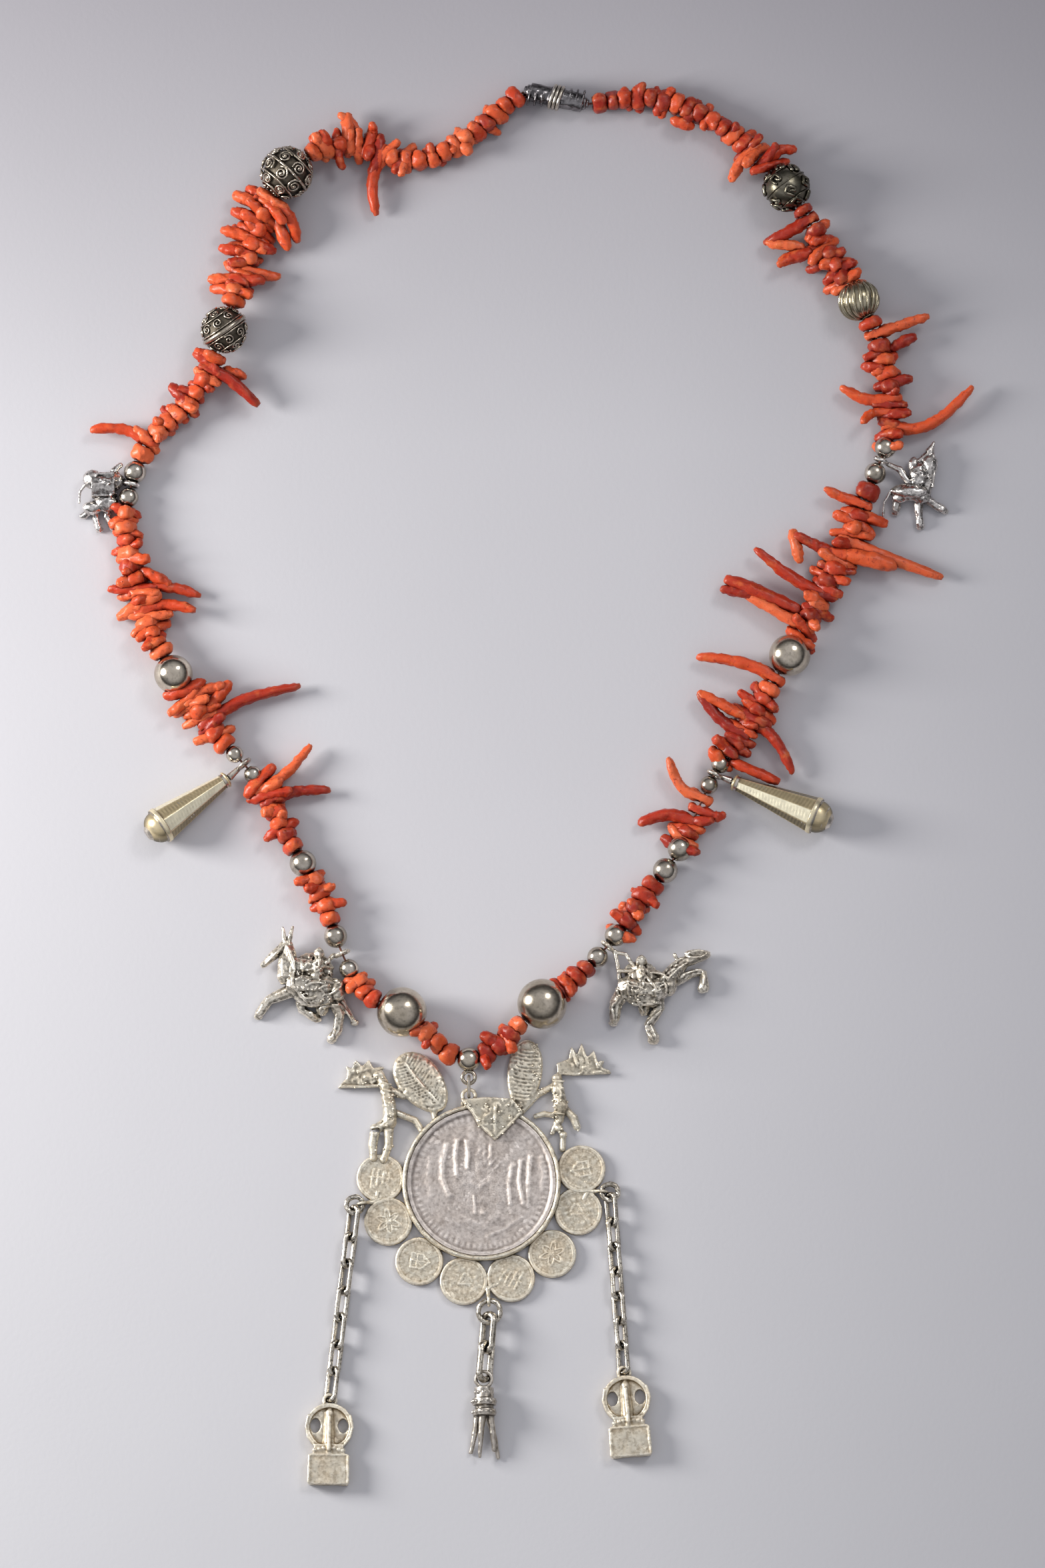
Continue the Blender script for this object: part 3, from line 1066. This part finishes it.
def coin_height(kind, turn, seed):
    def height(x0, y0):
        x, y = x0 * cos(turn) + y0 * sin(turn), -x0 * sin(turn) + y0 * cos(turn)
        r, a = np.hypot(x, y), np.arctan2(y, x)
        z = np.full(x.shape, 1.16 + 0.14 * (seed % 2)) + 0.05 * np.cos(x * 0.7 + seed) * np.cos(y * 0.8)
        f = np.zeros(x.shape)
        if kind == "rosette":
            f += 0.24 * np.exp(-((r - 2.1 - 0.75 * np.cos(6 * a)) / 0.42) ** 2)
            f += 0.3 * np.exp(-(r / 0.75) ** 2)
        elif kind == "shield":
            f += ridge(x, y, [(-1.7, 1.9), (1.7, 1.9), (1.7, -0.6), (0, -2.4), (-1.7, -0.6), (-1.7, 1.9)],
                       0.3, 0.26)
            f += ridge(x, y, [(0, 1.9), (0, -2.4)], 0.25, 0.2)
            f += ridge(x, y, [(-1.7, 0.5), (1.7, 0.5)], 0.25, 0.2)
        elif kind == "wreath":
            f += 0.22 * (0.6 + 0.4 * np.cos(14 * a)) * np.exp(-((r - 3.0) / 0.5) ** 2)
            f += ridge(x, y, [(-1.4, -0.9), (0, 1.4), (1.4, -0.9)], 0.36, 0.26)
            f += ridge(x, y, [(-1, -1.6), (1, -1.6)], 0.3, 0.2)
        else:
            for k in range(4):
                f += ridge(x, y, [(-2.3 + k * 1.4, -2.2 + 0.5 * k), (-1.7 + k * 1.3, 2.2 - 0.3 * k)],
                           0.32, 0.26)
            f += ridge(x, y, [(-2.6, 0.4), (2.6, -0.2)], 0.3, 0.16)
        z += 0.5 * f + 0.03 * np.cos(3.1 * x + seed) * np.cos(2.7 * y)
        z += 0.1 * (0.5 + 0.5 * np.cos(a * 36)) * np.exp(-((r - 4.5) / 0.3) ** 2)
        z += 0.2 / (1 + np.exp(-(r - 4.85) / 0.1)) - 0.3 * np.clip((r - 5.45) / 0.3, 0, 1) ** 2
        return z
    return height


def coins():
    kinds = ("bars", "rosette", "shield", "wreath", "bars", "rosette", "wreath", "shield")
    shape = Shape()
    for k, angle in enumerate(COIN_ANGLES):
        t = radians(angle)
        c = (MEDAL[0] + COIN_RING * cos(t), MEDAL[1] + COIN_RING * sin(t))
        relief(shape, c, COIN_R + 0.33, 0.15, 40, 96, coin_height(kinds[k], 0.7 * k, k))
    made("coin_faces", shape, GOLD, rough=[(0.9, 0.05), (3.0, 0.03)], seed=5)
    shape = Shape()
    relief(shape, MEDAL, MEDAL_R - 1.1 - 0.08, 0.9, 110, 256, medal_height)
    made("medal_relief", shape, COIN, ["medal"], "coin_silver", [(0.35, 0.10), (1.1, 0.05), (3.2, 0.025)], 6)


def leaf_and_birds():
    e = Shape()
    # raised rim of the large coin, a little uneven
    e.tube([at(MEDAL[0] + RIM_R * cos(a), MEDAL[1] + RIM_R * sin(a), 2.3) for a in around(120)],
           [0.42 + 0.06 * sin(i * 1.7) for i in range(120)], closed=True)
    # leaf: midrib and edge
    stroke(e, [(-6.7, -79.4, 2.9, 0.4), (-6.7, -83, 2.9, 0.36), (-6.7, -87, 2.8, 0.3)],
           [(-14.4, -78, 2.9, 0.35), (-12.2, -80.6, 2.9, 0.35), (-10, -84.2, 2.9, 0.35),
            (-6.7, -87.2, 2.8, 0.35), (-3.8, -84.4, 2.9, 0.35), (-0.4, -80.6, 2.9, 0.35),
            (-2.8, -77.8, 2.9, 0.35)])
    # left wing with barbs from the shaft, right wing with cross stripes
    tree = top_of("medallion_setting", e)
    wing(e, tree, (-24.4, -73.3), radians(128), 8.4, 5.3, 17, 51)
    wing(e, tree, (0.3, -71.3), radians(83), 8.4, 4.2, 15, 52, stripes=True)
    worked(e, tree, (-6.8, -80.8, 5.4, 3.6), 18, 53, (0.18, 0.26))
    for k, patch in enumerate((((-38.4, -71.8, 4.8, 2.2), 30), ((16.2, -69, 4.6, 2.6), 30),
                               ((-32.4, -79, 2, 7), 34), ((8.6, -78, 1.8, 6.5), 30))):
        worked(e, tree, *patch, 54 + k, (0.18, 0.3))
    # heads: eye, beak edge, crest
    for x, y in ((-37.6, -72), (14.6, -69.6)):
        e.ball(at(x, y, 1.55), 0.55, (1, 1, 0.8))
        ring_flat(e, x, y, 1.5, 0.85, 0.18)
    stroke(e, [(-43.8, -74.2, 1.6, 0.35), (-38, -74.4, 1.8, 0.4), (-33.6, -74, 1.8, 0.35)],
           [(-41.8, -72, 1.6, 0.3), (-40.4, -69, 1.5, 0.22)], [(-39, -71, 1.6, 0.3), (-38.7, -69.4, 1.5, 0.22)],
           [(-35.6, -71.6, 1.6, 0.3), (-34.4, -69.9, 1.5, 0.22)])
    for x0, y0, x1, y1 in ((18, -69.6, 17.1, -66.2), (15.6, -69, 14.2, -64.6), (13, -69, 11.7, -65.2),
                           (20.6, -70.6, 18.6, -69.8)):
        stroke(e, [(x0, y0, 1.6, 0.3), (x1, y1, 1.45, 0.2)])
    # bodies: breast feathers as short cross ridges
    for k in range(6):
        t = k / 5
        stroke(e, [(-33.9 + 1.2 * t, -73.4 - 8.5 * t, 2.7 + 0.5 * t, 0.22),
                   (-31.4 + 0.6 * t, -74 - 8.3 * t, 2.7 + 0.5 * t, 0.22)],
               [(7.1, -73 - 8 * t, 2.6 + 0.4 * t, 0.22), (9.9, -73.2 - 8 * t, 2.6 + 0.4 * t, 0.22)])
    cast("medallion_cast", "medallion_setting", e, 0.24, WARM, ((0.5, 0.07), (1.8, 0.03)),
         ((26, 0.36, (-14.5, -86.5, 0.2, -77.6), 11), (16, 0.34, (-36.5, -92, -30, -76), 12),
          (14, 0.34, (6.4, -90, 13.5, -76), 13), (18, 0.3, (2.2, -79, 5.2, -63.5), 14),
          (10, 0.3, (-44, -75, -33, -68.5), 15)))


def wing(e, tree, c, turn, long, wide, n, seed, stripes=False):
    """A raised edge, fine ribs from the shaft or across, and worn texture between them."""
    ca, sa = cos(turn), sin(turn)

    def w(u, v):
        return (c[0] + u * ca - v * sa, c[1] + u * sa + v * ca)
    edge = [w(long * 0.92 * cos(a), wide * 0.88 * sin(a) * (1 + 0.12 * cos(a))) for a in [*around(26), 2 * pi]]
    rows = [(*p, *q, 0.05, 0.42) for p, q in zip(edge, edge[1:])]
    if not stripes:
        rows.append((*w(-long * 0.8, 0), *w(long * 0.75, 0.4), 0.2, 0.4))
    for k in range(n):
        u = -0.78 * long + 1.5 * long * k / (n - 1)
        half = wide * 0.76 * sqrt(max(0.05, 1 - (u / long) ** 2))
        if stripes:
            rows.append((*w(u - 0.3, -half), *w(u - 0.2, half), 0.35, 0.25))
        else:
            rows += [(*w(u, 0), *w(u + 1.5, side * half), 0.12 * side, 0.25) for side in (-1, 1)]
    folds(e, tree, rows)
    worked(e, tree, (*c, wide * 0.8, wide), 50, seed, (0.16, 0.27), (0.7, 1.5))


coins()
leaf_and_birds()


# ---- drops
def pendant(name, node, top, turn):
    """Detail in the drop's own directions: up the middle of the drop is +Y there."""
    ca, sa = cos(radians(turn)), sin(radians(turn))

    def w(x, y, z, r):
        return (top[0] + x * ca - y * sa, top[1] + x * sa + y * ca, z, r)
    e = Shape()
    stroke(e, [w(0, -4, 3.1, 0.5), w(0, -8, 3.2, 0.6), w(0, -12, 3.2, 0.55)])
    for side in (-1, 1):
        stroke(e, [w(side * 4.6, -13.4, 2.9, 0.35), w(side * 4.75, -19.9, 2.9, 0.35)],
               [w(side * 1.6, -14.2, 2.75, 0.2), w(side * 1.9, -19, 2.75, 0.2)])
        for k in range(3):
            x, y = w(side * (1.2 + 1.1 * k), -11.6 - 0.25 * k, 0, 0)[:2]
            e.ball(at(x, y, 2.7), 0.6)
        stroke(e, [w(side * 5, -3.6, 2.5, 0.3), w(side * 5.6, -6.4, 2.5, 0.3), w(side * 5, -9, 2.5, 0.3),
                   w(side * 3.4, -11, 2.6, 0.3)])
    stroke(e, [w(-4.7, -20, 2.6, 0.35), w(4.7, -20, 2.6, 0.35)],
           [w(-4.3, -13.2, 2.9, 0.3), w(4.3, -13.2, 2.9, 0.3)])
    cast(name, node, e, 0.18, GOLD, ((0.5, 0.12), (1.7, 0.05)))


pendant("drop_left", "pendant_left", (-46.2, -150.3), -1)
pendant("drop_right", "pendant_right", (24.1, -143.6), 5)


def centre_drop():
    e = Shape()
    x0, y0 = -9.4, -145.2
    for y, r in ((-5.6, 2.85), (-8.1, 2.8)):
        for a in around(14):
            e.ball(at(x0 + r * cos(a), y0 + y, 2.85 + r * sin(a) * 0.97), 0.34, nu=8, nv=6)
    for k in range(5):
        a = pi * (k + 0.5) / 5
        e.ball(at(x0 + 2.2 * cos(a), y0 - 3.4, 2.85 + 2.2 * sin(a)), 0.36, nu=8, nv=6)
    cast("drop_centre", "pendant_centre", e, 0.15, SILVER, ((0.8, 0.08), (2.2, 0.04)))


centre_drop()


# ---- chains, centre bead, clasp
# How much fuller the links are made, mm, and how far their long sides are drawn in at the waist
LINK_SWELL = 0.16
WAIST = 0.62
# Links longer than this many times their width are drawn in
LONG_LINK = 1.45


def links(name, node, seed):
    """The chain's own links, fuller and with uneven hand-closed wire."""
    b = welded(node)
    b.normal_update()
    for v in b.verts:
        v.co += v.normal * LINK_SWELL * MM
    b.verts.index_update()
    for part in islands(b):
        p = np.array([v.co for v in part])
        c = p.mean(0)
        axes = np.linalg.svd(p - c, full_matrices=False)[2]
        along, across = (p - c) @ axes[0], (p - c) @ axes[1]
        half = np.abs(along).max()
        if half < LONG_LINK * np.abs(across).max():
            continue
        for v, t, u in zip(part, along / half, across):
            v.co -= Vector(axes[1]) * u * WAIST * exp(-(t / 0.34) ** 2)
    me = roughened(mesh_of(b, name), ((0.9, 0.13), (2.6, 0.08)), seed)
    settle(me, per_vertex(me, "co"))
    piece(name, me, LINK, [node])


links("links_left", "chain_left", 1.0)
links("links_right", "chain_right", 2.0)
links("links_centre", "chain_centre", 3.0)


def clasp():
    """The dark worn barrel of the clasp with a bright turned band round its middle."""
    (x0, y0, z0), (x1, y1, z1) = (np.array(q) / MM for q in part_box("clasp"))
    c = np.array(((x0 + x1) / 2, (y0 + y1) / 2, (z0 + z1) / 2))
    half = (z1 - z0) / 2 + 0.05
    e, band = Shape(), Shape()
    for k in range(9):
        q = -1 + 2 * k / 8
        w = c + np.array((q * (x1 - x0) * 0.4, -q * (y1 - y0) * 0.08, 0))
        e.tube([w + np.array((0.5 * cos(a), half * 0.86 * cos(a), half * 0.86 * sin(a))) for a in around(20)],
               0.28, 6, closed=True, up=(1, 0.2, 0))
    cast("clasp_barrel", "clasp", e, 0.17, CLASP, ((0.7, 0.12), (2.0, 0.05)))
    for k in range(3):
        w = c + np.array((-0.9 + 0.9 * k, 0.25 - 0.25 * k, 0.1))
        band.tube([w + np.array((0.9 * cos(a), half * cos(a), half * sin(a))) for a in around(28)],
                  0.42, closed=True, up=(1, 0.2, 0))
    made("clasp_band", band, SILVER, slot="dark_metal", rough=((0.9, 0.05),), seed=4)


clasp()
NODES["centre_bead"].data.materials[0] = BEAD

# ---- studio
floor_mesh = bpy.data.meshes.new("floor")
floor_mesh.from_pydata([(-3, -3, 0), (3, -3, 0), (3, 3, 0), (-3, 3, 0)], [], [(0, 1, 2, 3)])
floor = bpy.data.objects.new("floor", floor_mesh)
bpy.context.scene.collection.objects.link(floor)
floor.location.z = -0.00005
floor_mesh.materials.append(floor_material())


def area(name, where, aim, size, power, colour):
    d = bpy.data.lights.new(name, "AREA")
    d.shape, d.size, d.energy, d.color = "DISK", size, power, colour
    o = bpy.data.objects.new(name, d)
    o.location = where
    o.rotation_euler = (Vector(aim) - Vector(where)).to_track_quat("-Z", "Y").to_euler()
    bpy.context.scene.collection.objects.link(o)
    return o


area("key_left", (-0.60, 0.08, 0.25), (0, -0.04, 0), 0.26, 5.1, (1.0, 0.985, 0.96))
area("second_right", (1.2, 1.3, 2.1), (0, 0, 0), 0.8, 12, (1.0, 0.99, 0.98))
world = bpy.data.worlds.new("studio")
bpy.context.scene.world = world
world.use_nodes = True
sky = world.node_tree
high = add(sky, "ShaderNodeSeparateXYZ")
sky.links.new(add(sky, "ShaderNodeTexCoord").outputs["Generated"], high.inputs[0])
sky.links.new(ramp(sky, high.outputs["Z"], [(0.2, (0.06, 0.06, 0.065)), (0.75, (0.82, 0.83, 0.88))]),
              sky.nodes["Background"].inputs[0])
sky.nodes["Background"].inputs[1].default_value = 0.65

ELEVATION = radians(80)
DISTANCE = 5.0
# Width of what the camera sees at that distance, metres, and of its sensor, mm
VIEW_WIDTH = 0.3763
SENSOR = 36
AIM = Vector((-1.48, -1.1, 3.0)) * MM
cam = bpy.data.cameras.new("camera")
camera = bpy.data.objects.new("camera", cam)
bpy.context.scene.collection.objects.link(camera)
camera.location = AIM + Vector((0, -cos(ELEVATION), sin(ELEVATION))) * DISTANCE
camera.rotation_euler = (pi / 2 - ELEVATION, 0, 0)
cam.sensor_width = SENSOR
cam.lens = SENSOR * DISTANCE / VIEW_WIDTH
cam.clip_start, cam.clip_end = 0.1, 20
bpy.context.scene.camera = camera
bpy.context.scene.view_settings.view_transform = "Standard"
bpy.context.scene.view_settings.look = "None"
